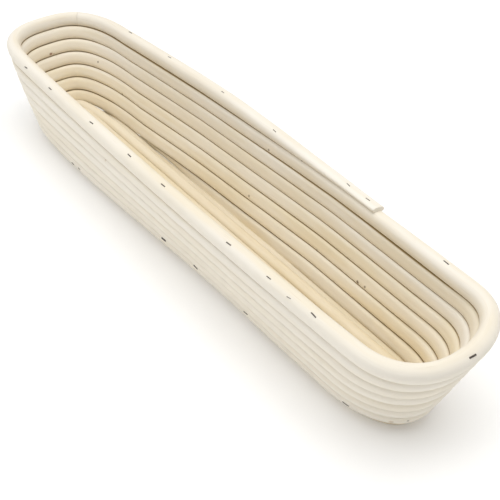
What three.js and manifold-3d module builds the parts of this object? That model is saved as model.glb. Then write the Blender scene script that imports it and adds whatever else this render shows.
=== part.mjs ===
// Long banneton, a baker's proofing basket wound from round rattan cane and stapled coil on coil.
// Millimetres. +Z is up, +X runs along the basket, +Y across it. The origin is on the table plane under the middle.
// Turn numbers count up from the floor. A place round the basket is a fraction of a turn, clockwise from above,
// that starts at the tapered tip of the first wall turn, on the +Y side near the -X end.
import * as THREE from "three";
import Module from "manifold-3d";
import { mergeVertices } from "three/addons/utils/BufferGeometryUtils.js";

// ---- driving dimensions -------------------------------------------------------------------------------------
const TURNS_BELOW_RIM = 6;
const WALL_R = 3.8; // wall cane, radius of the solid
const RIM_R = 4.15; // the cane is stouter along the rim
const RIM_FROM = [TURNS_BELOW_RIM + 0.27, TURNS_BELOW_RIM + 0.37]; // turns from the tip over which it thickens
const FLOOR_R = 3.05; // floor cane, a little thinner
const PITCH = 7.624; // height from one turn to the next
const TURNS = 7; // full wall turns
const TAIL_AT = 0.2545; // the last turn runs on by this much and ends in a shaved tail
const BOTTOM = { a: 177.757, b: 19.288, EL: 77.948, ER: 39.751, skew: 1.037, bow: 3.238, corner: 0.45, splay: 6.6 }; // centreline at the foot of the wall
const TOP = { a: 202.599, b: 33.378, EL: 48.421, ER: 29.511, skew: 4.291, bow: 4.409, corner: 0.715, splay: 0 }; // centreline seven pitches higher
// corner: roundness of the near (-Y) corner of the -X end. splay: the near side stands this much further out towards the -X end.
const END_L = 0.715; // roundness of the rest of the -X end: 1 is an ellipse, less is squarer
const SPLAY_X = [70, -120]; // where along X the splay grows from nothing to all
const END_R = 0.883; // roundness of the +X end
const SKEW_L = -2.934; // how far the -X end leans along X from its near to its far corner
const BELLY = 2.253; // the long walls swell outwards by this at half height
const SIDE = 0.41; // share of a turn that one long side takes; an end takes 0.09
const TIP_AT = 0.064; // where along the +Y side turns are counted from, as a share of a turn
const TIP = -0.065; // the first turn's shaved tip starts this long before that place
const FOOT_Z = 9.75; // height of the first wall turn's centreline where it lies level
// The wall climbs one pitch per turn, nearly all of it where each turn steps over the tapered tip.
const CLIMB = [
  [0, 0], [0.05, 0.185], [0.12, 0.342], [0.22, 0.662], [0.34, 0.665], [0.45, 0.667], [0.6, 0.681], [0.8, 0.684],
  [0.92, 0.686], [1, 1],
];
const LEVEL0 = 0.667; // climb where the turns lie level
const FLOOR_RING_IN = 4.94; // the floor's outer ring lies this far inside the first wall turn
const FLOOR_UP = 3.6; // the rest of the floor is this much higher than its outer ring
const FLOOR_DODGE = 1.7; // the outer ring bends in by this under the tapered tip
const FLOOR_FROM = -0.03; // the outer ring starts this share of a turn before the +Y side's straight run
const FLOOR_TIP = 35; // the floor cane's outer end is shaved over this length
const FLOOR_END = 40; // and its inner end over this length
// Second and third rounds: half-widths, and where their ends start along X; for some, how far they reach and how round they are.
const ROUND2 = { y: 10.8, right: [146, 169.2, 0.84], left: -153.9 };
const ROUND3 = { y: 3.6, right: 156, left: -153.5, last: [-3, -55] }; // last: the short run that fills the wider -X end
const SIDES = 10; // facets round a cane
const JOINTS = [TIP, 1.881, 3.881, 6.909, TURNS + TAIL_AT]; // where one length of wall cane ends and the next begins
const JOINT_GAP = 0.3; // between two lengths that meet end to end
const STAPLE = { crown: 4.4, wide: 1.0, thick: 0.55, leg: 9.5, wire: 0.6, room: 0.3 };
const CENTRE = [0.12, 0.227]; // moves the whole basket so that its box is centred on the origin

// ---- the coils' centreline -------------------------------------------------------------------------------------
const mix = (p, q, t) => p + (q - p) * t;
const clamp = (x, lo, hi) => Math.min(hi, Math.max(lo, x));
const smooth = (lo, hi, x) => {
  const t = clamp((x - lo) / (hi - lo), 0, 1);
  return t * t * (3 - 2 * t);
};

function oval(w, s) {
  w -= Math.floor(w);
  const end = 0.5 - SIDE,
    L = s.a - s.EL,
    R = s.a - s.ER;
  let x, y;
  if (w < SIDE) [x, y] = [-L + ((L + R) * w) / SIDE, s.b];
  else if (w < 0.5) {
    const q = ((w - SIDE) / end) * Math.PI,
      c = Math.cos(q);
    [x, y] = [R + s.ER * Math.pow(Math.max(Math.sin(q), 0), END_R), s.b * Math.sign(c) * Math.pow(Math.abs(c), END_R)];
  } else if (w < 0.5 + SIDE) [x, y] = [R - ((L + R) * (w - 0.5)) / SIDE, -s.b];
  else {
    const q = ((w - 0.5 - SIDE) / end) * Math.PI,
      near = q < Math.PI / 2,
      n = near ? s.corner : END_L,
      k = near ? (Math.PI / 2) * Math.pow(Math.max((2 * q) / Math.PI, 0), END_L / n) : q,
      c = Math.cos(k);
    [x, y] = [-L - s.EL * Math.pow(Math.max(Math.sin(k), 0), n), -s.b * Math.sign(c) * Math.pow(Math.abs(c), n)];
  }
  if (y < 0) y *= 1 + (s.splay / s.b) * smooth(SPLAY_X[0], SPLAY_X[1], x);
  if (x > 0) x -= ((s.skew * y) / s.b) * clamp((x - R + 30) / (s.ER + 30), 0, 1) ** 2;
  else x += ((SKEW_L * y) / s.b) * clamp((-x - L + 30) / (s.EL + 30), 0, 1) ** 2;
  return [x, y];
}

function climb(u) {
  const n = Math.floor(u),
    v = u - n;
  for (let i = 1; i < CLIMB.length; i++)
    if (v <= CLIMB[i][0]) {
      const [u0, g0] = CLIMB[i - 1],
        [u1, g1] = CLIMB[i];
      return n + g0 + ((g1 - g0) * (v - u0)) / (u1 - u0);
    }
  return n + 1;
}

// Centre of the wall cane where it has gone t turns from the tip.
// Where the first turn is still low it stands over the same line as where it lies level.
function wallPoint(t, level = climb(t)) {
  const h = Math.max(level, LEVEL0) / TURNS,
    [xb, yb] = oval(t + TIP_AT, BOTTOM),
    [xt, yt] = oval(t + TIP_AT, TOP),
    x = mix(xb, xt, h);
  let y = mix(yb, yt, h);
  y += (y / TOP.b) * BELLY * 4 * h * (1 - h);
  y += (y / TOP.b) * mix(BOTTOM.bow, TOP.bow, h) * Math.max(1 - (x / TOP.a) ** 2, 0);
  return new THREE.Vector3(x, y, FOOT_Z + (level - LEVEL0) * PITCH);
}

// Level and upright directions across a cane that runs along T.
function across(T) {
  const out = new THREE.Vector3(-T.y, T.x, 0).normalize(),
    up = new THREE.Vector3().crossVectors(T, out);
  return up.z < 0 ? { out: out.negate(), up: up.negate() } : { out, up };
}
const along = (f, t, d = 5e-4) => f(t + d).sub(f(t - d)).normalize();

// A closed tube through rings of half-width rx and half-height rz, with flat ends.
function tube(stations) {
  const n = stations.length,
    pos = [],
    index = [];
  stations.forEach((s) => {
    const { out, up } = across(s.T);
    for (let k = 0; k < SIDES; k++) {
      const a = ((k + 0.5) / SIDES) * 2 * Math.PI - Math.PI / 2,
        p = s.c
          .clone()
          .addScaledVector(out, s.rx * Math.cos(a))
          .addScaledVector(up, s.rz * Math.sin(a));
      pos.push(p.x, p.y, p.z);
    }
  });
  for (let i = 0; i + 1 < n; i++)
    for (let k = 0; k < SIDES; k++) {
      const a = i * SIDES + k,
        b = i * SIDES + ((k + 1) % SIDES);
      index.push(a, b, b + SIDES, a, b + SIDES, a + SIDES);
    }
  for (let k = 1; k + 1 < SIDES; k++) {
    const e = (n - 1) * SIDES;
    index.push(0, k + 1, k, e, e + k, e + k + 1);
  }
  return facingOut(geometry(pos, index));
}

function geometry(pos, index) {
  const g = new THREE.BufferGeometry();
  g.setAttribute("position", new THREE.Float32BufferAttribute(pos, 3));
  g.setIndex(index);
  return g;
}

function facingOut(g) {
  const p = g.attributes.position,
    ix = g.index.array,
    v = [0, 1, 2].map(() => new THREE.Vector3());
  let six = 0;
  for (let i = 0; i < ix.length; i += 3) {
    v.forEach((w, k) => w.fromBufferAttribute(p, ix[i + k]));
    six += v[0].dot(new THREE.Vector3().crossVectors(v[1], v[2]));
  }
  if (six < 0) for (let i = 0; i < ix.length; i += 3) [ix[i + 1], ix[i + 2]] = [ix[i + 2], ix[i + 1]];
  return g;
}

// ---- wall cane -------------------------------------------------------------------------------------------------
// Rings stand at the same places on every turn, so neighbouring turns stay parallel.
const marks = [];
for (let i = 0; i < 9; i++) marks.push((SIDE * i) / 9, 0.5 + (SIDE * i) / 9);
for (let i = 0; i < 12; i++) marks.push(SIDE + ((0.5 - SIDE) * i) / 12, 0.5 + SIDE + ((0.5 - SIDE) * i) / 12);
for (const i of [4.5, 5.4]) marks.push(0.5 + SIDE + ((0.5 - SIDE) * i) / 12);
marks.push(0.02, TIP_AT + 0.02, TIP_AT + 0.05);
marks.sort((a, b) => a - b);

function wallStation(t) {
  const c = wallPoint(t),
    T = along(wallPoint, t),
    rim = smooth(RIM_FROM[0], RIM_FROM[1], t),
    R = mix(WALL_R, RIM_R, rim);
  c.z += rim * (RIM_R - WALL_R);
  let share = 1;
  if (t < 0.1) {
    // the shaved tip keeps its top against the turn above, and its outer face
    share = 0.38 + 0.62 * smooth(TIP + 0.02, 0.09, t);
    c.z += R * (1 - share);
    c.y += 0.24 * R * (1 - share);
  }
  if (t > TURNS + 0.08) {
    // the shaved tail keeps its underside on the turn below
    share = 1 - 0.66 * smooth(0.08, TAIL_AT, t - TURNS);
    c.z -= R * (1 - share);
  }
  return { c, T, rx: R * (0.7 + 0.3 * share), rz: R * share };
}

// Where a length of cane stops so that it leaves the joint gap before the one that starts at t.
function shortOf(t) {
  const step = 1e-4;
  return t - (JOINT_GAP * step) / wallPoint(t).distanceTo(wallPoint(t - step));
}

function wallCane(from, to) {
  const ts = [from];
  for (let n = Math.floor(from); n <= to + 1; n++)
    for (const m of marks) {
      const t = n + m - TIP_AT;
      if (t > from + 0.002 && t < to - 0.002) ts.push(t);
    }
  ts.push(to);
  ts.sort((a, b) => a - b);
  return tube(ts.map(wallStation));
}

// ---- floor cane ------------------------------------------------------------------------------------------------
// One flat spiral: the outer ring on the table, then two more rounds a little higher, ending in a straight middle.
function footPoint(w) {
  return wallPoint(w - TIP_AT, LEVEL0);
}
function ringPoint(w, inwards, z) {
  const d = along(footPoint, w);
  return footPoint(w).add(new THREE.Vector3(d.y * inwards, -d.x * inwards, 0)).setZ(z);
}
function outerRing(w) {
  const t = w - TIP_AT,
    dodge = FLOOR_DODGE * smooth(TIP - 0.025, TIP + 0.02, t) * (1 - smooth(0.12, 0.22, t));
  // its first stretch lies right under the wall, where there is still room
  return ringPoint(w, FLOOR_RING_IN + dodge - 2.6 * (1 - smooth(-0.016, 0.003, w)), FLOOR_R);
}
// Where the ring has come round it climbs on to the floor's own level and leaves the wall.
function rising(w) {
  const inwards = FLOOR_RING_IN + 2 * smooth(0.905, 0.96, w) + 5.2 * smooth(0.95, 1.01, w);
  return ringPoint(w, inwards, FLOOR_R + FLOOR_UP * smooth(0.905, 0.985, w));
}
function floorLine() {
  const out = [],
    z = FLOOR_R + FLOOR_UP,
    to = (x, y) => out.push(new THREE.Vector3(x, y, z)),
    power = (c, n) => Math.sign(c) * Math.pow(Math.abs(c), n),
    run = (x0, x1, y, n) => {
      for (let i = 1; i < n; i++) to(mix(x0, x1, i / n), y(mix(x0, x1, i / n)));
    },
    bend = (x0, reach, yFrom, yTo, n) => {
      for (let i = 0; i <= 60; i++) {
        const q = (i / 60) * Math.PI;
        to(
          x0 + (reach - x0) * Math.pow(Math.max(Math.sin(q), 0), n),
          (yFrom + yTo) / 2 + ((yFrom - yTo) / 2) * power(Math.cos(q), n),
        );
      }
    },
    round = (x0, yFrom, yTo) => bend(x0, x0 + Math.sign(x0) * Math.abs((yFrom - yTo) / 2), yFrom, yTo, 1),
    wide = (x) => BOTTOM.splay * smooth(SPLAY_X[0], SPLAY_X[1], x),
    far2 = () => ROUND2.y,
    near2 = (x) => -ROUND2.y - wide(x),
    far3 = () => ROUND3.y,
    near3 = (x) => -ROUND3.y - wide(x) * smooth(10, -70, x),
    [yLast, xLast] = ROUND3.last,
    x1 = -74;
  for (let w = FLOOR_FROM; w < 0.905; w += (w > 0.41 && w < 0.5) || w < 0 ? 0.0005 : 0.0015) out.push(outerRing(w));
  let w = 0.905;
  for (; w < 1; w += 0.0005) out.push(rising(w));
  const xs = out[out.length - 1].x;
  for (let i = 1; i <= 60; i++) {
    const x = mix(xs, x1, i / 60);
    while (rising(w).x < x) w += 0.0003;
    to(x, mix(rising(w).y, ROUND2.y, smooth(0, 1, i / 60)));
  }
  run(x1, ROUND2.right[0], far2, 60);
  bend(ROUND2.right[0], ROUND2.right[1], ROUND2.y, -ROUND2.y, ROUND2.right[2]);
  run(ROUND2.right[0], ROUND2.left, near2, 90);
  round(ROUND2.left, near2(ROUND2.left), ROUND3.y);
  run(ROUND2.left, ROUND3.right, far3, 90);
  round(ROUND3.right, ROUND3.y, -ROUND3.y);
  run(ROUND3.right, ROUND3.left, near3, 90);
  round(ROUND3.left, near3(ROUND3.left), yLast);
  run(ROUND3.left, xLast, () => yLast, 30);
  to(xLast, yLast);
  return out;
}
// Rings stand close together where the cane bends and far apart where it runs straight.
function floorCane() {
  const line = floorLine(),
    at = [0];
  for (const p of line.slice(1).entries()) at.push(at[p[0]] + p[1].distanceTo(line[p[0]]));
  const total = at[at.length - 1],
    point = (s) => {
      const c = clamp(s, 0, total);
      let i = 1;
      while (i < at.length - 1 && at[i] < c) i++;
      return line[i - 1].clone().lerp(line[i], (c - at[i - 1]) / Math.max(at[i] - at[i - 1], 1e-9));
    },
    heading = (s) => point(Math.min(s + 0.8, total)).sub(point(Math.max(s - 0.8, 0))).normalize(),
    stops = [0];
  while (stops[stops.length - 1] < total - 3) {
    const s = stops[stops.length - 1],
      h = heading(s);
    let step = 2.5;
    while (step < 30 && h.angleTo(heading(s + step + 1)) < 0.2) step += 0.5;
    stops.push(Math.min(s + step, total - 1));
  }
  stops[stops.length - 1] = total;
  return tube(
    stops.map((s) => {
      const share = 0.4 + 0.6 * Math.min(smooth(0, FLOOR_TIP, s), smooth(0, FLOOR_END, total - s)),
        c = point(s);
      return { c: c.setZ(c.z - FLOOR_R * (1 - share)), T: heading(s), rx: FLOOR_R * share, rz: (FLOOR_R * share) / Math.cos(Math.PI / SIDES) };
    }),
  );
}

// ---- staples ---------------------------------------------------------------------------------------------------
// t: turns from the tip. face: angle on the cane, from outwards (0) to straight up (90). Each is driven at the cane next to it.
const RIM_STAPLES = [
  [6.3212, 90], [6.3905, 43], [6.4665, 60], [6.4871, 46], [6.5074, 60], [6.5479, 61], [6.6251, 72], [6.6699, 74], [6.7246, 67],
  [6.7903, 46], [6.8346, 36], [6.9435, 82], [7.007, 97], [7.0823, 106], [7.1476, 122], [7.2255, 118], [7.2443, 112],
];
const FOOT_STAPLES = [
  [0.843, -28], [0.828, -16], [0.667, 18], [0.615, 16], [0.538, 10], [0.426, -20], [0.07, 2], [0.165, -4], [0.25, 4], [0.33, 0],
];

function stapleFrame(t, face, foot) {
  const { c, T, rx, rz } = wallStation(t),
    { out, up } = across(T);
  if (out.x * c.x * 0.05 + out.y * c.y < 0) out.negate();
  const a = (face * Math.PI) / 180,
    p = c.clone().addScaledVector(out, rx * Math.cos(a)).addScaledVector(up, rz * Math.sin(a)),
    next = foot ? floorRingNear(c) : wallPoint(t - 1),
    D = next.clone().sub(p).normalize();
  return { p, T: T.clone().addScaledVector(D, -T.dot(D)).normalize(), D };
}
function floorRingNear(c) {
  let best = null;
  for (let i = 0; i < 950; i++) {
    const w = i / 1000,
      q = w < 0.905 ? outerRing(w) : rising(w);
    if (!best || q.distanceTo(c) < best.distanceTo(c)) best = q;
  }
  return best;
}

// A wire staple as one solid: a flat crown and two legs. grow widens it on every side, for the slot that it sits in.
function stapleSolid(frame, grow, lift) {
  const { crown, wide, thick, leg, wire } = STAPLE,
    s = new THREE.Shape(),
    h = crown / 2 + grow,
    i = crown / 2 - wire - grow,
    top = lift,
    under = -(thick + grow);
  s.moveTo(-h, top);
  s.lineTo(h, top);
  s.lineTo(h, -leg - grow);
  s.lineTo(i, -leg - grow);
  s.lineTo(i, under);
  s.lineTo(-i, under);
  s.lineTo(-i, -leg - grow);
  s.lineTo(-h, -leg - grow);
  s.closePath();
  const g = new THREE.ExtrudeGeometry(s, { depth: wide + 2 * grow, bevelEnabled: false });
  g.translate(0, 0, -(wide / 2 + grow));
  const Y = frame.D.clone().negate(),
    X = frame.T,
    Z = new THREE.Vector3().crossVectors(X, Y);
  g.applyMatrix4(new THREE.Matrix4().makeBasis(X, Y, Z).setPosition(frame.p));
  return g;
}

// ---- booleans --------------------------------------------------------------------------------------------------
const wasm = await Module();
wasm.setup();
function solid(g) {
  const bare = new THREE.BufferGeometry();
  const flat = g.index ? g.toNonIndexed() : g;
  bare.setAttribute("position", flat.attributes.position.clone());
  const m = mergeVertices(bare, 1e-4);
  return new wasm.Manifold(
    new wasm.Mesh({ numProp: 3, vertProperties: m.attributes.position.array, triVerts: new Uint32Array(m.index.array) }),
  );
}
function backToGeometry(m) {
  const mesh = m.getMesh(),
    pos = [];
  for (let i = 0; i < mesh.numVert; i++)
    pos.push(...mesh.vertProperties.subarray(i * mesh.numProp, i * mesh.numProp + 3));
  return geometry(pos, [...mesh.triVerts]);
}

// ---- materials -------------------------------------------------------------------------------------------------
const cane = (hex) => new THREE.MeshStandardMaterial({ color: hex, roughness: 0.62, metalness: 0 });
const steel = new THREE.MeshStandardMaterial({ color: 0x4a4642, roughness: 0.45, metalness: 1 });

// ---- assembly --------------------------------------------------------------------------------------------------
const group = new THREE.Group();
group.name = "banneton_basket";
const canes = [
  ["floor_cane", floorCane(), cane(0xeadfc4)],
  ["wall_cane_lower", wallCane(JOINTS[0], shortOf(JOINTS[1])), cane(0xe2cfa4)],
  ["wall_cane_middle", wallCane(JOINTS[1], shortOf(JOINTS[2])), cane(0xe5d6b4)],
  ["wall_cane_upper", wallCane(JOINTS[2], shortOf(JOINTS[3])), cane(0xe9dcc0)],
  ["rim_cane_tail", wallCane(JOINTS[3], JOINTS[4]), cane(0xf3ead6)],
];
const staples = [
  ...RIM_STAPLES.map(([t, face], i) => ["rim_staple_" + String(i + 1).padStart(2, "0"), stapleFrame(t, face, false)]),
  ...FOOT_STAPLES.map(([t, face], i) => ["foot_staple_" + String(i + 1).padStart(2, "0"), stapleFrame(t, face, true)]),
];
const slots = staples.map(([, f]) => solid(stapleSolid(f, STAPLE.room, 4)));
for (const [name, g, material] of canes) {
  let body = solid(g);
  const before = body.numTri();
  for (const s of slots) {
    const hit = body.intersect(s);
    if (hit.volume() > 1e-3) body = body.subtract(s);
  }
  const mesh = new THREE.Mesh(body.numTri() === before ? g : backToGeometry(body), material);
  mesh.name = name;
  group.add(mesh);
}
for (const [name, f] of staples) {
  const mesh = new THREE.Mesh(stapleSolid(f, 0, 0), steel);
  mesh.name = name;
  group.add(mesh);
}
for (const m of group.children) m.position.set(-CENTRE[0], -CENTRE[1], 0);

export default group;
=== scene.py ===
import math
import random
import bpy
import numpy as np
from mathutils import Matrix, Vector


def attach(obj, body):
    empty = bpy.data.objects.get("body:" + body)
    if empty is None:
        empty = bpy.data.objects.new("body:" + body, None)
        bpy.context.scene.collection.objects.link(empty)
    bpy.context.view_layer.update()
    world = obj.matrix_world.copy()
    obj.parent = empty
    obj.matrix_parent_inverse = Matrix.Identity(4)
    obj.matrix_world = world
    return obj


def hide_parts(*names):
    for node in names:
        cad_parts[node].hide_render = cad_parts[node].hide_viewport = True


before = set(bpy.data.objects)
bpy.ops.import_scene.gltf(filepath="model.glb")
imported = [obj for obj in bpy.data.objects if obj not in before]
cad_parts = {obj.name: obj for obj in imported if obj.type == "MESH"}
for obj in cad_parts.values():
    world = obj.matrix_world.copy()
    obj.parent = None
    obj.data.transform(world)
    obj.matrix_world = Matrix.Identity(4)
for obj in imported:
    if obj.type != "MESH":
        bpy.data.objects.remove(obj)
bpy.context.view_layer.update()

MM = 0.001
rng = random.Random(41)

# ---- the coils' centreline, in millimetres, as in the CAD solids ---------------------------------------------------
BOTTOM = dict(a=177.757, b=19.288, EL=77.948, ER=39.751, skew=1.037, bow=3.238, corner=0.45, splay=6.6)
TOP = dict(a=202.599, b=33.378, EL=48.421, ER=29.511, skew=4.291, bow=4.409, corner=0.715, splay=0)
END_L, END_R, SKEW_L, BELLY, SIDE, TIP_AT = 0.715, 0.883, -2.934, 2.253, 0.41, 0.064
FOOT_Z, PITCH, TURNS, LEVEL0, TAIL_AT = 9.75, 7.624, 7, 0.667, 0.2545
CLIMB = [(0, 0), (0.05, 0.185), (0.12, 0.342), (0.22, 0.662), (0.34, 0.665), (0.45, 0.667), (0.6, 0.681), (0.8, 0.684),
         (0.92, 0.686), (1, 1)]
CENTRE = (0.12, 0.227)
TIP, FLOOR_FROM = -0.065, -0.03
JOINTS = [TIP, 1.881, 3.881, 6.909, TURNS + TAIL_AT]
RIM_RAISE = 0.4
CANE_R, RIM_R, FLOOR_R, FLOOR_UP, RING_IN, DODGE = 3.93, 4.35, 3.6, 3.6, 4.94, 1.7


def clamp(x, a, b):
    return min(b, max(a, x))


def smooth(lo, hi, x):
    t = clamp((x - lo) / (hi - lo), 0, 1)
    return t * t * (3 - 2 * t)


def mix(p, q, t):
    return p + (q - p) * t


def oval(w, s):
    w -= math.floor(w)
    end, L, R = 0.5 - SIDE, s["a"] - s["EL"], s["a"] - s["ER"]
    if w < SIDE:
        x, y = -L + (L + R) * w / SIDE, s["b"]
    elif w < 0.5:
        q = (w - SIDE) / end * math.pi
        c = math.cos(q)
        x, y = R + s["ER"] * max(math.sin(q), 0) ** END_R, s["b"] * math.copysign(abs(c) ** END_R, c)
    elif w < 0.5 + SIDE:
        x, y = R - (L + R) * (w - 0.5) / SIDE, -s["b"]
    else:
        q = (w - 0.5 - SIDE) / end * math.pi
        near = q < math.pi / 2
        n = s["corner"] if near else END_L
        if near:
            q = math.pi / 2 * max(2 * q / math.pi, 0) ** (END_L / n)
        c = math.cos(q)
        x, y = -L - s["EL"] * max(math.sin(q), 0) ** n, -s["b"] * math.copysign(abs(c) ** n, c)
    if y < 0:
        y *= 1 + s["splay"] / s["b"] * smooth(70, -120, x)
    if x > 0:
        x -= s["skew"] * y / s["b"] * clamp((x - R + 30) / (s["ER"] + 30), 0, 1) ** 2
    else:
        x += SKEW_L * y / s["b"] * clamp((-x - L + 30) / (s["EL"] + 30), 0, 1) ** 2
    return x, y


def climb(u):
    n = math.floor(u)
    v = u - n
    for (u0, g0), (u1, g1) in zip(CLIMB, CLIMB[1:]):
        if v <= u1:
            return n + g0 + (g1 - g0) * (v - u0) / (u1 - u0)
    return n + 1


def wall(t, level=None):
    if level is None:
        level = climb(t)
    h = max(level, LEVEL0) / TURNS
    xb, yb = oval(t + TIP_AT, BOTTOM)
    xt, yt = oval(t + TIP_AT, TOP)
    x, y = mix(xb, xt, h), mix(yb, yt, h)
    y += y / TOP["b"] * BELLY * 4 * h * (1 - h)
    y += y / TOP["b"] * mix(BOTTOM["bow"], TOP["bow"], h) * max(1 - (x / TOP["a"]) ** 2, 0)
    return (x, y, FOOT_Z + (level - LEVEL0) * PITCH)


def foot(w):
    return wall(w - TIP_AT, LEVEL0)


def inset(w, d):
    x, y, _ = foot(w)
    x0, y0, _ = foot(w - 5e-4)
    x1, y1, _ = foot(w + 5e-4)
    dx, dy = x1 - x0, y1 - y0
    l = math.hypot(dx, dy)
    return x + d * dy / l, y - d * dx / l


def floor_line():
    pts, z = [], FLOOR_R + FLOOR_UP

    def wide(x):
        return BOTTOM["splay"] * smooth(70, -120, x)

    def rising(w):
        x, y = inset(w, RING_IN + 2 * smooth(0.905, 0.96, w) + 5.2 * smooth(0.95, 1.01, w))
        return x, y, FLOOR_R + FLOOR_UP * smooth(0.905, 0.985, w)

    def run(x0, x1, y, n):
        pts.extend((mix(x0, x1, i / n), y(mix(x0, x1, i / n)), z) for i in range(1, n))

    def bend(x0, reach, y0, y1, n):
        for i in range(61):
            q = i / 60 * math.pi
            c = math.cos(q)
            pts.append((x0 + (reach - x0) * max(math.sin(q), 0) ** n, (y0 + y1) / 2 + (y0 - y1) / 2 * math.copysign(abs(c) ** n, c), z))

    def round_(x0, y0, y1):
        bend(x0, x0 + math.copysign(abs(y0 - y1) / 2, x0), y0, y1, 1)

    def near2(x):
        return -10.8 - wide(x)

    def near3(x):
        return -3.6 - wide(x) * smooth(10, -70, x)

    w = FLOOR_FROM
    while w < 0.905:
        t = w - TIP_AT
        dodge = DODGE * smooth(TIP - 0.025, TIP + 0.02, t) * (1 - smooth(0.12, 0.22, t))
        x, y = inset(w, RING_IN + dodge - 2.6 * (1 - smooth(-0.016, 0.003, w)))
        pts.append((x, y, FLOOR_R))
        w += 0.0005 if 0.41 < w < 0.5 or w < 0 else 0.0015
    w = 0.905
    while w < 1:
        pts.append(rising(w))
        w += 0.0005
    xs, x1 = pts[-1][0], -74
    for i in range(1, 61):
        x = mix(xs, x1, i / 60)
        while rising(w)[0] < x:
            w += 0.0003
        pts.append((x, mix(rising(w)[1], 10.8, smooth(0, 1, i / 60)), z))
    run(x1, 146, lambda x: 10.8, 60)
    bend(146, 169.2, 10.8, -10.8, 0.84)
    run(146, -153.9, near2, 90)
    round_(-153.9, near2(-153.9), 3.6)
    run(-153.9, 156, lambda x: 3.6, 90)
    round_(156, 3.6, -3.6)
    run(156, -153.5, near3, 90)
    round_(-153.5, near3(-153.5), -3)
    run(-153.5, -55, lambda x: -3, 30)
    pts.append((-55, -3, z))
    return np.array(pts)


# ---- sweeping a cane -------------------------------------------------------------------------------------------------
def resample(pts, extra, step):
    d = np.r_[0, np.cumsum(np.linalg.norm(np.diff(pts, axis=0), axis=1))]
    n = max(int(round(d[-1] / step)), 2)
    s = np.linspace(0, d[-1], n + 1)
    P = np.stack([np.interp(s, d, pts[:, k]) for k in range(3)], 1)
    return s, P, np.stack([np.interp(s, d, e) for e in extra], 1) if extra else None


def blur(P, sigma, step):
    r = int(3 * sigma / step)
    if r < 1:
        return P
    k = np.exp(-0.5 * (np.arange(-r, r + 1) * step / sigma) ** 2)
    k /= k.sum()
    out = P.copy()
    for c in range(P.shape[1]):
        a = P[:, c]
        pad = np.r_[2 * a[0] - a[r:0:-1], a, 2 * a[-1] - a[-2:-r - 2:-1]]
        out[:, c] = np.convolve(pad, k, "valid")
    return out


def wander(n, step, wave, seed):
    """Smooth random line, about one unit high, that turns every wave millimetres."""
    r = np.random.RandomState(seed)
    m = int(n * step / wave) + 5
    knots = r.uniform(-1, 1, m)
    x = np.arange(n) * step / wave
    i = x.astype(int)
    f = x - i
    f = f * f * (3 - 2 * f)
    return knots[i] * (1 - f) + knots[i + 1] * f


def unit(v):
    return v / np.maximum(np.linalg.norm(v, axis=1, keepdims=True), 1e-9)


SOFT = ((0.93, 0.16), (0.84, 0.22), (0.5, 0.24))
CRISP = ((0.985, 0.02), (0.9, 0.03), (0.5, 0.03))


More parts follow.
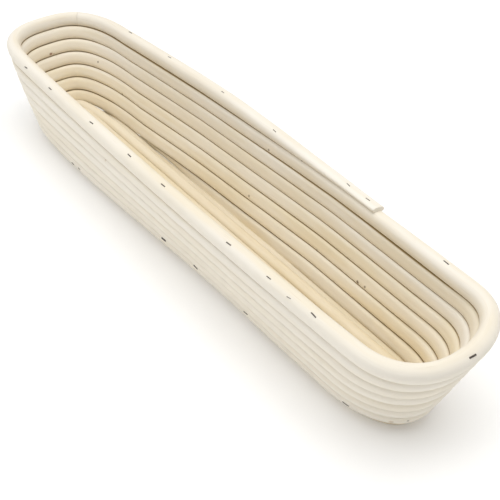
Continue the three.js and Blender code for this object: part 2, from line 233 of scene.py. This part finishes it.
def sweep(name, C, T, U, r_out, r_in, r_up, r_dn, p_out, p_in, s0, touch, bevels=(SOFT, SOFT), N=36, flat=False):
    """A cane through C. U points at the next turn up. The section is fuller than a circle where p is over 2."""
    T = unit(T)
    U = unit(U - T * np.sum(U * T, 1, keepdims=True))
    O = np.cross(U, T)
    sign = np.where(np.sum(O[:, :2] * C[:, :2] * np.array([0.05, 1.0]), 1) < 0, -1.0, 1.0)
    O *= sign[:, None]
    n = len(C)
    phi = (np.arange(N) + 0.5) / N * 2 * math.pi
    c, s = np.cos(phi), np.sin(phi)
    # even spacing round the fuller section
    rows, local = [], []
    for i in range(n):
        p = np.where(c > 0, p_out[i], p_in[i])
        k = (np.abs(c) ** p + np.abs(s) ** p) ** (-1.0 / p)
        x = k * c * np.where(c > 0, r_out[i], r_in[i])
        y = k * s * np.where(s > 0, r_up[i], r_dn[i])
        rows.append(C[i] + np.outer(x, O[i]) + np.outer(y, U[i]))
        # how close the surface comes to the neighbouring turn: 1 where they touch; the cane materials paint groove
        # shade from it
        if flat:
            near = np.abs(x) / r_out[i] * touch[0][i]
        else:
            near = np.where(y > 0, touch[0][i] * y / r_up[i], -touch[1][i] * y / r_dn[i])
        local.append(np.stack([np.full(N, s0[i]), y if flat else x, x if flat else y, near], 1))
    V = [np.array(rows)]
    A = [np.array(local)]
    extra_s, extra_e = [], []

    def cap(i, back):
        out = []
        for shrink, push in bevels[0 if back else 1]:
            out.append((C[i] + (rows[i] - C[i]) * shrink + T[i] * (-push if back else push), local[i] * np.array([1, shrink, shrink, 1])))
        return out

    ring_list = [np.array(rows[i]) for i in range(n)]
    loc_list = [np.array(local[i]) for i in range(n)]
    for r, l in cap(0, True):
        ring_list.insert(0, r)
        loc_list.insert(0, l)
    for r, l in cap(n - 1, False):
        ring_list.append(r)
        loc_list.append(l)
    m = len(ring_list)
    verts = np.concatenate(ring_list)
    att = np.concatenate(loc_list)
    idx = np.arange(m * N).reshape(m, N)
    a = idx[:-1]
    b = idx[1:]
    quads = np.stack([a, np.roll(a, -1, 1), np.roll(b, -1, 1), b], -1).reshape(-1, 4)
    faces = quads.tolist()
    first = np.mean(ring_list[0], 0)
    last = np.mean(ring_list[-1], 0)
    v0, v1 = len(verts), len(verts) + 1
    verts = np.concatenate([verts, [first, last]])
    att = np.concatenate([att, [[loc_list[0][0, 0], 0, 0, 0], [loc_list[-1][0, 0], 0, 0, 0]]])
    for k in range(N):
        faces.append([v0, idx[0, (k + 1) % N], idx[0, k]])
        faces.append([v1, idx[-1, k], idx[-1, (k + 1) % N]])
    me = bpy.data.meshes.new(name)
    me.from_pydata(((verts - np.array([CENTRE[0], CENTRE[1], 0])) * MM).tolist(), [], faces)
    me.validate()
    at = me.attributes.new("cane", "FLOAT_VECTOR", "POINT")
    at.data.foreach_set("vector", (att[:, :3] * MM).astype(np.float32).ravel())
    at = me.attributes.new("touch", "FLOAT", "POINT")
    at.data.foreach_set("value", att[:, 3].astype(np.float32))
    import bmesh
    bm = bmesh.new()
    bm.from_mesh(me)
    bmesh.ops.recalc_face_normals(bm, faces=bm.faces)
    bm.to_mesh(me)
    bm.free()
    me.polygons.foreach_set("use_smooth", [True] * len(me.polygons))
    ob = bpy.data.objects.new(name, me)
    bpy.context.scene.collection.objects.link(ob)
    return ob


STEP = 1.3


def wall_arrays():
    ts = np.concatenate([[TIP], np.arange(TIP + 0.0008, TURNS + TAIL_AT, 0.0008), [TURNS + TAIL_AT]])
    pts = np.array([wall(t) for t in ts])
    s, P, E = resample(pts, [ts], STEP)
    P = blur(P, 3.0, STEP)
    return s, P, E[:, 0]


S_ALL, P_ALL, T_ALL = wall_arrays()
TAN = unit(np.gradient(P_ALL, axis=0))


def at_turns(a, t):
    return np.stack([np.interp(t, T_ALL, a[:, k]) for k in range(a.shape[1])], 1)


def point_at(t):
    return np.array([np.interp(t, T_ALL, P_ALL[:, k]) for k in range(3)])


def neighbours():
    """Direction to the next turn and the distance to it, for every station."""
    up = np.zeros_like(P_ALL)
    above = np.full(len(T_ALL), 8.0)
    below = np.full(len(T_ALL), 8.0)
    for i, t in enumerate(T_ALL):
        if t + 1 <= TURNS + TAIL_AT:
            d = point_at(t + 1) - P_ALL[i]
            d -= TAN[i] * np.dot(d, TAN[i])
            up[i] = d
            above[i] = np.linalg.norm(d)
        if t - 1 >= TIP:
            e = P_ALL[i] - point_at(t - 1)
            e -= TAN[i] * np.dot(e, TAN[i])
            below[i] = np.linalg.norm(e)
            if t + 1 > TURNS + TAIL_AT:
                up[i] = e
        if t + 1 > TURNS + TAIL_AT:
            above[i] = below[i]
        if t - 1 < TIP:
            below[i] = above[i]
    return up, above, below


UP, ABOVE, BELOW = neighbours()
UP = blur(unit(UP), 6.0, STEP)


def wall_cane(name, t0, t1, bevels=(SOFT, SOFT)):
    inside = (T_ALL > t0 + 0.0004) & (T_ALL < t1 - 0.0004)
    t = np.concatenate([[t0], T_ALL[inside], [t1]])
    C, T, U = at_turns(P_ALL, t), at_turns(TAN, t), unit(at_turns(UP, t))
    s, gap_up, gap_dn = (at_turns(a[:, None], t)[:, 0] for a in (S_ALL, ABOVE, BELOW))
    n = len(t)
    rim = np.array([smooth(6.15, 6.37, x) for x in t])
    C[:, 2] += RIM_RAISE * rim
    seed = int(t0 * 100) + 50
    R = CANE_R * (1 - rim) + RIM_R * rim
    fat = 1 + 0.012 * wander(n, STEP, 38, seed) + 0.008 * wander(n, STEP, 11, seed + 1)
    r_up = gap_up / 2 + 0.04
    r_dn = gap_dn / 2 + 0.04
    r_up = np.clip(r_up, 3.75, 4.3) * (1 - rim) + RIM_R * rim
    r_dn = np.clip(r_dn, 3.75, 4.3) + rim * RIM_RAISE
    free = np.array([smooth(5.96, 6.3, x) for x in t])
    r_out = R * fat
    r_in = R * fat
    # wandering sideways, so that the wall isn't ruled
    side = 0.10 * wander(n, STEP, 55, seed + 2)
    C += unit(np.cross(T, np.tile([0, 0, 1.0], (n, 1)))) * side[:, None]
    share = np.ones(n)
    tip = t < 0.1
    share[tip] = [0.36 + 0.64 * smooth(TIP + 0.02, 0.09, x) for x in t[tip]]
    C[tip] += U[tip] * (CANE_R * (1 - share[tip]))[:, None]
    tail = t > TURNS + 0.08
    share[tail] = [1 - 0.66 * smooth(0.08, TAIL_AT, x - TURNS) for x in t[tail]]
    C[tail] -= U[tail] * (RIM_R * (1 - share[tail]))[:, None]
    wide = 0.72 + 0.28 * share
    # the long near side is rubbed flatter than the ends
    w = (t + TIP_AT) % 1
    flat = np.array([smooth(0.50, 0.60, x) * (1 - smooth(0.96, 0.99, x)) for x in w])
    p_out = 2.5 + 1.9 * flat - (0.2 + 1.9 * flat) * free
    far = np.array([1 - smooth(0.36, 0.42, x) if x < 0.5 else smooth(0.97, 1.0, x) for x in w])
    p_in = 3.0 + 1.8 * far - (0.7 + 1.8 * far) * free
    last = TURNS + TAIL_AT
    above = np.array([1 - smooth(last - 1.02, last - 0.99, x) for x in t])
    below = np.array([smooth(TIP + 0.99, TIP + 1.02, x) for x in t])
    # above and below set the painted groove shade, which is thinner on the free top turn
    above, below = above * (1 - 0.04 * free), below * (1 - 0.05 * free)
    return sweep(name, C, T, U, r_out * wide, r_in * wide, r_up * share, r_dn * share, p_out, p_in, s, (above, below), bevels)


def gap_before(t, mm):
    """The end of the length before the joint at t."""
    i = np.searchsorted(T_ALL, t)
    return t - mm * (T_ALL[i] - T_ALL[i - 1]) / STEP


PIECES = {}
PIECES["wall_cane_lower"] = wall_cane("cane_wall_lower", JOINTS[0], gap_before(JOINTS[1], 0.4))
PIECES["wall_cane_middle"] = wall_cane("cane_wall_middle", JOINTS[1], gap_before(JOINTS[2], 0.4))
PIECES["wall_cane_upper"] = wall_cane("cane_wall_upper", JOINTS[2], gap_before(JOINTS[3], 0.09), (SOFT, CRISP))
PIECES["rim_cane_tail"] = wall_cane("cane_rim_tail", JOINTS[3], JOINTS[4], (CRISP, CRISP))


def floor_cane():
    s, P, _ = resample(floor_line(), None, STEP)
    P = blur(P, 2.5, STEP)
    T = unit(np.gradient(P, axis=0))
    n = len(P)
    share = np.array([0.4 + 0.6 * min(smooth(0, 35, x), smooth(0, 40, s[-1] - x)) for x in s])
    P[:, 2] -= FLOOR_R * (1 - share)
    fat = (1 + 0.010 * wander(n, STEP, 40, 7) + 0.006 * wander(n, STEP, 12, 8)) * share
    two = np.full(n, 2.2)
    U = np.tile([0, 0, 1.0], (n, 1))
    r = FLOOR_R * fat
    low = FLOOR_R * share
    one = np.ones(n)
    # the floor cane gets the painted groove shade along both sides
    return sweep("cane_floor", P, T, U, r, r, r, low, two, two, s + 9000, (one, one), flat=True)


PIECES["floor_cane"] = floor_cane()


# ---- staples -----------------------------------------------------------------------------------------------------------
RIM_STAPLES = [(6.3212, 90), (6.3905, 43), (6.4665, 60), (6.4871, 46), (6.5074, 60), (6.5479, 61), (6.6251, 72),
               (6.6699, 74), (6.7246, 67), (6.7903, 46), (6.8346, 36), (6.9435, 82), (7.007, 97), (7.0823, 106),
               (7.1476, 122), (7.2255, 118), (7.2443, 112)]
FOOT_STAPLES = [(0.843, -28), (0.828, -16), (0.667, 18), (0.615, 16), (0.538, 10), (0.426, -20), (0.07, 2),
                (0.165, -4), (0.25, 4), (0.33, 0)]


def bent_wire(name, pos, X, Y, size=1.0, thin=1.0):
    """A driven staple: a flat wire crown with round shoulders that go down into the cane. Y points out of the cane."""
    Z = X.cross(Y)
    path = []
    half, r, deep = 1.95 * size, 0.45, 2.4
    path.append((-half, -deep))
    for i in range(7):
        a = math.pi - i / 6 * math.pi / 2
        path.append((-half + r + r * math.cos(a), -r + r * math.sin(a)))
    for i in range(7):
        a = math.pi / 2 - i / 6 * math.pi / 2
        path.append((half - r + r * math.cos(a), -r + r * math.sin(a)))
    path.append((half, -deep))
    bow = 0.12
    verts, faces, M = [], [], 10
    for i, (x, y) in enumerate(path):
        x0, y0 = path[max(i - 1, 0)]
        x1, y1 = path[min(i + 1, len(path) - 1)]
        tx, ty = x1 - x0, y1 - y0
        l = math.hypot(tx, ty)
        nx, ny = -ty / l, tx / l
        sag = -bow * max(1 - (x / half) ** 2, 0)
        for k in range(M):
            a = 2 * math.pi * (k + 0.5) / M
            u = 0.20 * thin * math.copysign(abs(math.sin(a)) ** 0.6, math.sin(a))
            v = 0.29 * thin * math.copysign(abs(math.cos(a)) ** 0.6, math.cos(a))
            p = pos + (X * (x + nx * u) + Y * (y + ny * u + sag) + Z * v) * MM
            verts.append(p)
    n = len(path)
    for i in range(n - 1):
        for k in range(M):
            a, b = i * M + k, i * M + (k + 1) % M
            faces.append((a, b, b + M, a + M))
    faces.append(tuple(range(M)))
    faces.append(tuple(reversed(range((n - 1) * M, n * M))))
    me = bpy.data.meshes.new(name)
    me.from_pydata(verts, [], faces)
    me.update()
    for p in me.polygons:
        p.use_smooth = len(p.vertices) == 4
    ob = bpy.data.objects.new(name, me)
    bpy.context.scene.collection.objects.link(ob)
    return ob


def cast(pieces, start, direction):
    """Where a line first meets the canes, and the way the surface faces there."""
    best = None
    for ob in pieces:
        hit, loc, nor, _ = ob.ray_cast(start, direction)
        if hit and (best is None or (loc - start).length < (best[0] - start).length):
            best = (loc, nor)
    return best


# length and thickness of the wires that differ from the rest
WIRE = {("rim", 2): (1.0, 1.5), ("rim", 4): (0.7, 0.5), ("rim", 5): (0.8, 0.8), ("foot", 1): (0.75, 1.0), ("foot", 3): (1.0, 1.6), ("foot", 2): (0.75, 1.0)}
WIRE.update({("rim", i): (0.8, 0.7) for i in range(13, 18)})
bpy.context.view_layer.update()
STAPLES = []
DENTS = []
for kind, rows in (("rim", RIM_STAPLES), ("foot", FOOT_STAPLES)):
    for i, (t, face) in enumerate(rows):
        c = point_at(t)
        T = np.array([np.interp(t, T_ALL, TAN[:, k]) for k in range(3)])
        T /= np.linalg.norm(T)
        out = np.array([-T[1], T[0], 0])
        out /= np.linalg.norm(out)
        up = np.cross(T, out)
        if up[2] < 0:
            up = -up
        if out[0] * c[0] * 0.05 + out[1] * c[1] < 0:
            out = -out
        rim = smooth(6.15, 6.37, t)
        a = math.radians(face)
        n = Vector(out * math.cos(a) + up * math.sin(a))
        axis = Vector((c - np.array([CENTRE[0], CENTRE[1], -RIM_RAISE * rim])) * MM)
        shave = 0.0
        if t > TURNS + 0.08:
            shave = RIM_R * 0.66 * smooth(0.08, TAIL_AT, t - TURNS)
        axis -= Vector(up) * shave * MM
        got = cast(PIECES.values(), axis + n * 0.012, -n)
        if got is None:
            continue
        loc, nor = got
        X = Vector(T)
        X = (X - nor * X.dot(nor)).normalized()
        # a staple is never driven quite square to the cane
        X = (Matrix.Rotation(math.radians(rng.uniform(-9, 9)), 3, nor) @ X).normalized()
        ob = bent_wire("%s_wire_%02d" % (kind, i + 1), loc + nor * 0.10 * MM, X, nor, *WIRE.get((kind, i + 1), (0.95, 1.0)))
        STAPLES.append((ob, "%s_staple_%02d" % (kind, i + 1)))
        DENTS.append((loc, X))

# ---- materials ------------------------------------------------------------------------------------------------------------
class Nodes:
    """Short hand for building a node tree."""

    def __init__(self, name):
        self.mat = bpy.data.materials.new(name)
        self.mat.use_nodes = True
        self.t = self.mat.node_tree
        self.t.nodes.clear()
        self.out = self.t.nodes.new("ShaderNodeOutputMaterial")
        self.bsdf = self.t.nodes.new("ShaderNodeBsdfPrincipled")
        self.t.links.new(self.bsdf.outputs[0], self.out.inputs[0])

    def put(self, socket, value):
        if isinstance(value, bpy.types.NodeSocket):
            self.t.links.new(value, socket)
        elif value is not None:
            socket.default_value = value

    def math(self, op, a, b=None, c=None, limit=False):
        n = self.t.nodes.new("ShaderNodeMath")
        n.operation = op
        n.use_clamp = limit
        for i, v in enumerate((a, b, c)):
            if v is not None:
                self.put(n.inputs[i], v)
        return n.outputs[0]

    def vec(self, op, a, b=None):
        n = self.t.nodes.new("ShaderNodeVectorMath")
        n.operation = op
        self.put(n.inputs[0], a)
        if b is not None:
            self.put(n.inputs[1], b)
        return n.outputs["Value"] if op in ("LENGTH", "DISTANCE", "DOT_PRODUCT") else n.outputs["Vector"]

    def noise(self, vector, scale=1.0, detail=2.0, rough=0.5):
        n = self.t.nodes.new("ShaderNodeTexNoise")
        self.put(n.inputs["Vector"], vector)
        n.inputs["Scale"].default_value = scale
        n.inputs["Detail"].default_value = detail
        n.inputs["Roughness"].default_value = rough
        return n.outputs["Fac"]

    def span(self, v, a, b, c=0.0, d=1.0, kind="SMOOTHSTEP"):
        n = self.t.nodes.new("ShaderNodeMapRange")
        n.interpolation_type = kind
        n.clamp = True if kind == "LINEAR" else n.clamp
        self.put(n.inputs["Value"], v)
        for k, x in zip(("From Min", "From Max", "To Min", "To Max"), (a, b, c, d)):
            n.inputs[k].default_value = x
        return n.outputs["Result"]

    def mix(self, f, a, b, mode="MIX"):
        n = self.t.nodes.new("ShaderNodeMix")
        n.data_type = "RGBA"
        n.blend_type = mode
        self.put(n.inputs["Factor"], f)
        self.put(n.inputs["A"] if False else n.inputs[6], a)
        self.put(n.inputs[7], b)
        return n.outputs[2]


def rgb(r, groove_shade_mask, b):
    return (r, groove_shade_mask, b, 1.0)


# marks: place in the row frame in mm, radius in mm, strength, colour
KNOT, STAIN, RUST = (0.11, 0.065, 0.03), (0.40, 0.25, 0.10), (0.24, 0.09, 0.04)
MARKS = [
    ((-170.56, 21.97, 34.6), 0.9, 0.85, KNOT), ((-137.93, 27.24, 29.8), 1.5, 0.95, KNOT), ((-140.04, 23.44, 23.45), 1.2, 0.9, KNOT),
    ((13.12, 33.08, 52.5), 1.0, 0.85, KNOT), ((40.2, 35.36, 58.25), 0.8, 0.6, KNOT), ((70.43, 24.77, 22.64), 1.2, 0.9, KNOT),
    ((104.68, 23.96, 23.7), 1.4, 0.95, KNOT), ((110.31, 23.85, 24.2), 1.0, 0.9, KNOT), ((6.9, 24.04, 22.46), 1.2, 0.7, KNOT),
    ((-189.6, -2.8, 39.5), 1.5, 0.85, RUST), ((-189.3, -0.6, 38.7), 1.3, 0.8, RUST), ((-189.2, 0.9, 37.7), 1.1, 0.75, RUST),
    ((-42.31, -38.86, 42.79), 1.3, 0.4, STAIN), ((177.93, -14.94, 8.34), 1.7, 0.4, STAIN), ((182.43, -8.98, 9.36), 0.9, 0.5, KNOT),
]


def cane_material(name, pale, warm, seed, groove_shade=0.5, bleach=0.0):
    n = Nodes(name)
    at = n.t.nodes.new("ShaderNodeAttribute")
    at.attribute_name = "cane"
    c = at.outputs["Vector"]
    geo = n.t.nodes.new("ShaderNodeNewGeometry")
    coord = n.t.nodes.new("ShaderNodeTexCoord")
    obj = coord.outputs["Object"]
    off = n.vec("ADD", c, (seed * 1.37, seed * 0.11, seed * 0.07))
    fibre = n.noise(n.vec("MULTIPLY", off, (16.0, 1500.0, 1500.0)), 1.0, 3.0, 0.55)
    streak = n.noise(n.vec("MULTIPLY", off, (7.0, 420.0, 420.0)), 1.0, 2.0, 0.5)
    cloud = n.noise(n.vec("MULTIPLY", off, (13.0, 90.0, 90.0)), 1.0, 3.0, 0.55)
    drift = n.noise(n.vec("MULTIPLY", off, (3.3, 20.0, 20.0)), 1.0, 1.0, 0.4)
    pore = n.noise(n.vec("MULTIPLY", off, (70.0, 3300.0, 3300.0)), 1.0, 1.0, 0.5)
    col = n.mix(n.span(cloud, 0.33, 0.68), rgb(*pale), rgb(*warm))
    col = n.mix(n.math("MULTIPLY", n.span(drift, 0.45, 0.75), 0.30), col, rgb(warm[0] * 0.95, warm[1] * 0.90, warm[2] * 0.82))
    col = n.mix(n.math("MULTIPLY", n.span(streak, 0.52, 0.78), 0.20), col, rgb(warm[0] * 0.91, warm[1] * 0.85, warm[2] * 0.74))
    col = n.mix(n.math("MULTIPLY", n.span(fibre, 0.55, 0.80), 0.16), col, rgb(warm[0] * 0.85, warm[1] * 0.76, warm[2] * 0.60))
    col = n.mix(n.math("MULTIPLY", n.span(pore, 0.66, 0.78), 0.22), col, rgb(0.46, 0.36, 0.23))
    # painted shade: the cane is tinted brown along the lines where the next turn touches it, more on the inside face,
    # standing in for the shade in the grooves between turns
    sep = n.t.nodes.new("ShaderNodeSeparateXYZ")
    n.put(sep.inputs[0], c)
    wob = n.math("MULTIPLY", n.math("SUBTRACT", cloud, 0.5), 0.12)
    inner = n.span(sep.outputs["Y"], 0.0004, -0.0012)
    near = n.t.nodes.new("ShaderNodeAttribute")
    near.attribute_name = "touch"
    groove_shade_mask = n.span(n.math("ADD", near.outputs["Fac"], n.math("MULTIPLY", wob, 0.5)), 0.88, 0.965)
    groove_shade_mask = n.math("MULTIPLY", groove_shade_mask, n.math("ADD", n.math("MULTIPLY", inner, groove_shade), groove_shade * 0.35))
    # the outside is bleached by handling and washing
    col = n.mix(n.math("MULTIPLY", n.span(sep.outputs["Y"], 0.0002, 0.0022), bleach), col, rgb(0.83, 0.785, 0.70))
    # the brown of the painted groove shade
    col = n.mix(groove_shade_mask, col, rgb(0.35, 0.24, 0.10))
    for p, rad, strength, colour in MARKS:
        d = n.vec("DISTANCE", obj, tuple(v * MM for v in p))
        d = n.math("ADD", d, n.math("MULTIPLY", n.math("SUBTRACT", n.noise(n.vec("MULTIPLY", obj, (900.0, 900.0, 900.0)), 1.0, 2.0, 0.6), 0.5), rad * MM * 0.9))
        f = n.math("MULTIPLY", n.span(d, rad * MM, rad * MM * 0.25), strength)
        col = n.mix(f, col, rgb(*colour))
    n.put(n.bsdf.inputs["Base Color"], col)
    n.put(n.bsdf.inputs["Roughness"], n.span(streak, 0.3, 0.8, 0.52, 0.72, "LINEAR"))
    n.bsdf.inputs["Specular IOR Level"].default_value = 0.32
    height = n.math("ADD", n.math("MULTIPLY", fibre, 0.55), n.math("ADD", n.math("MULTIPLY", pore, 0.25), n.math("MULTIPLY", cloud, 1.1)))
    bump = n.t.nodes.new("ShaderNodeBump")
    bump.inputs["Strength"].default_value = 0.35
    bump.inputs["Distance"].default_value = 0.00025
    n.put(bump.inputs["Height"], height)
    n.t.links.new(bump.outputs[0], n.bsdf.inputs["Normal"])
    return n.mat


def steel_material():
    n = Nodes("staple wire")
    coord = n.t.nodes.new("ShaderNodeTexCoord")
    v = n.noise(n.vec("MULTIPLY", coord.outputs["Object"], (1800.0, 1800.0, 1800.0)), 1.0, 3.0, 0.6)
    col = n.mix(n.span(v, 0.35, 0.7), rgb(0.06, 0.052, 0.046), rgb(0.20, 0.17, 0.145))
    n.put(n.bsdf.inputs["Base Color"], col)
    n.bsdf.inputs["Metallic"].default_value = 0.85
    n.put(n.bsdf.inputs["Roughness"], n.span(v, 0.3, 0.7, 0.38, 0.6, "LINEAR"))
    return n.mat


def floor_material():
    n = Nodes("table")
    coord = n.t.nodes.new("ShaderNodeTexCoord")
    v = n.noise(n.vec("MULTIPLY", coord.outputs["Object"], (3.0, 3.0, 3.0)), 1.0, 2.0, 0.5)
    n.put(n.bsdf.inputs["Base Color"], n.mix(n.span(v, 0.3, 0.7), rgb(0.93, 0.93, 0.93), rgb(0.95, 0.95, 0.95)))
    n.bsdf.inputs["Roughness"].default_value = 0.9
    n.bsdf.inputs["Emission Color"].default_value = rgb(1.0, 1.0, 1.0)
    n.bsdf.inputs["Emission Strength"].default_value = 0.10
    n.bsdf.inputs["Specular IOR Level"].default_value = 0.1
    return n.mat


# the fifth value sets the painted shade in the grooves between turns, the sixth bleaches the outside
LOOKS = {
    "wall_cane_lower": cane_material("cane lower", (0.845, 0.78, 0.655), (0.785, 0.685, 0.495), 1.0, 0.78, 0.65),
    "wall_cane_middle": cane_material("cane middle", (0.85, 0.79, 0.675), (0.80, 0.71, 0.53), 2.0, 0.78, 0.6),
    "wall_cane_upper": cane_material("cane upper", (0.845, 0.795, 0.705), (0.81, 0.735, 0.59), 3.0, 0.72, 0.5),
    "rim_cane_tail": cane_material("cane rim", (0.855, 0.81, 0.725), (0.815, 0.755, 0.64), 4.0, 0.55),
    "floor_cane": cane_material("cane floor", (0.815, 0.735, 0.585), (0.765, 0.665, 0.475), 5.0, 0.5),
}
for node, ob in PIECES.items():
    ob.data.materials.append(LOOKS[node])
    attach(ob, "root")
    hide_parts(node)
wire = steel_material()
for ob, node in STAPLES:
    ob.data.materials.append(wire)
    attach(ob, "root")
    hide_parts(node)

# ---- stage ---------------------------------------------------------------------------------------------------------------
bpy.ops.mesh.primitive_plane_add(size=6, location=(0, 0, 0))
table = bpy.context.object
table.name = "table"
table.data.materials.append(floor_material())

world = bpy.data.worlds.new("studio")
world.use_nodes = True
world.node_tree.nodes["Background"].inputs[0].default_value = (1.0, 1.0, 1.0, 1)
# a little dimmer towards the right front, where the studio is open
wt = world.node_tree
way = wt.nodes.new("ShaderNodeTexCoord")
dot = wt.nodes.new("ShaderNodeVectorMath")
dot.operation = "DOT_PRODUCT"
dot.inputs[1].default_value = (0.82, -0.57, 0.0)
wt.links.new(way.outputs["Generated"], dot.inputs[0])
dim = wt.nodes.new("ShaderNodeMapRange")
for key, value in (("From Min", 0.15), ("From Max", 0.9), ("To Min", 0.57), ("To Max", 0.42)):
    dim.inputs[key].default_value = value
wt.links.new(dot.outputs["Value"], dim.inputs["Value"])
wt.links.new(dim.outputs["Result"], wt.nodes["Background"].inputs[1])
bpy.context.scene.world = world


def area(name, where, at, size, power, colour=(1, 1, 1)):
    light = bpy.data.lights.new(name, "AREA")
    light.shape = "RECTANGLE"
    light.size, light.size_y = size
    light.energy = power
    light.color = colour
    ob = bpy.data.objects.new(name, light)
    ob.location = where
    ob.rotation_euler = (Vector(at) - Vector(where)).to_track_quat("-Z", "Y").to_euler()
    bpy.context.scene.collection.objects.link(ob)
    return ob


area("key", (0.12, 0.14, 1.15), (0, 0, 0.02), (1.2, 1.2), 9.2, (1.0, 0.99, 0.97))
area("side", (-0.40, -0.85, 1.10), (0, 0, 0.03), (1.3, 1.0), 4.8, (0.98, 0.99, 1.0))

# ---- camera --------------------------------------------------------------------------------------------------------------
az, el, dist = math.radians(55.891), math.radians(35.953), 0.548007
right = Vector((math.cos(az), math.sin(az), 0))
ahead = Vector((-math.sin(az), math.cos(az), 0)) * math.cos(el) - Vector((0, 0, 1)) * math.sin(el)
upward = right.cross(ahead)
target = Vector((0.054465, -0.007237, 0.025715))
cam = bpy.data.cameras.new("camera")
cam.lens = 1056.019 / 500 * 36
cam.sensor_width = 36
cam.shift_x, cam.shift_y = -0.001, 0.001
cam.clip_start = 0.01
camera = bpy.data.objects.new("camera", cam)
camera.matrix_world = Matrix((
    (right.x, upward.x, -ahead.x, 0), (right.y, upward.y, -ahead.y, 0), (right.z, upward.z, -ahead.z, 0), (0, 0, 0, 1)))
camera.location = target - ahead * dist
bpy.context.scene.collection.objects.link(camera)
bpy.context.scene.camera = camera
bpy.context.scene.view_settings.view_transform = "Standard"
bpy.context.scene.view_settings.look = "None"
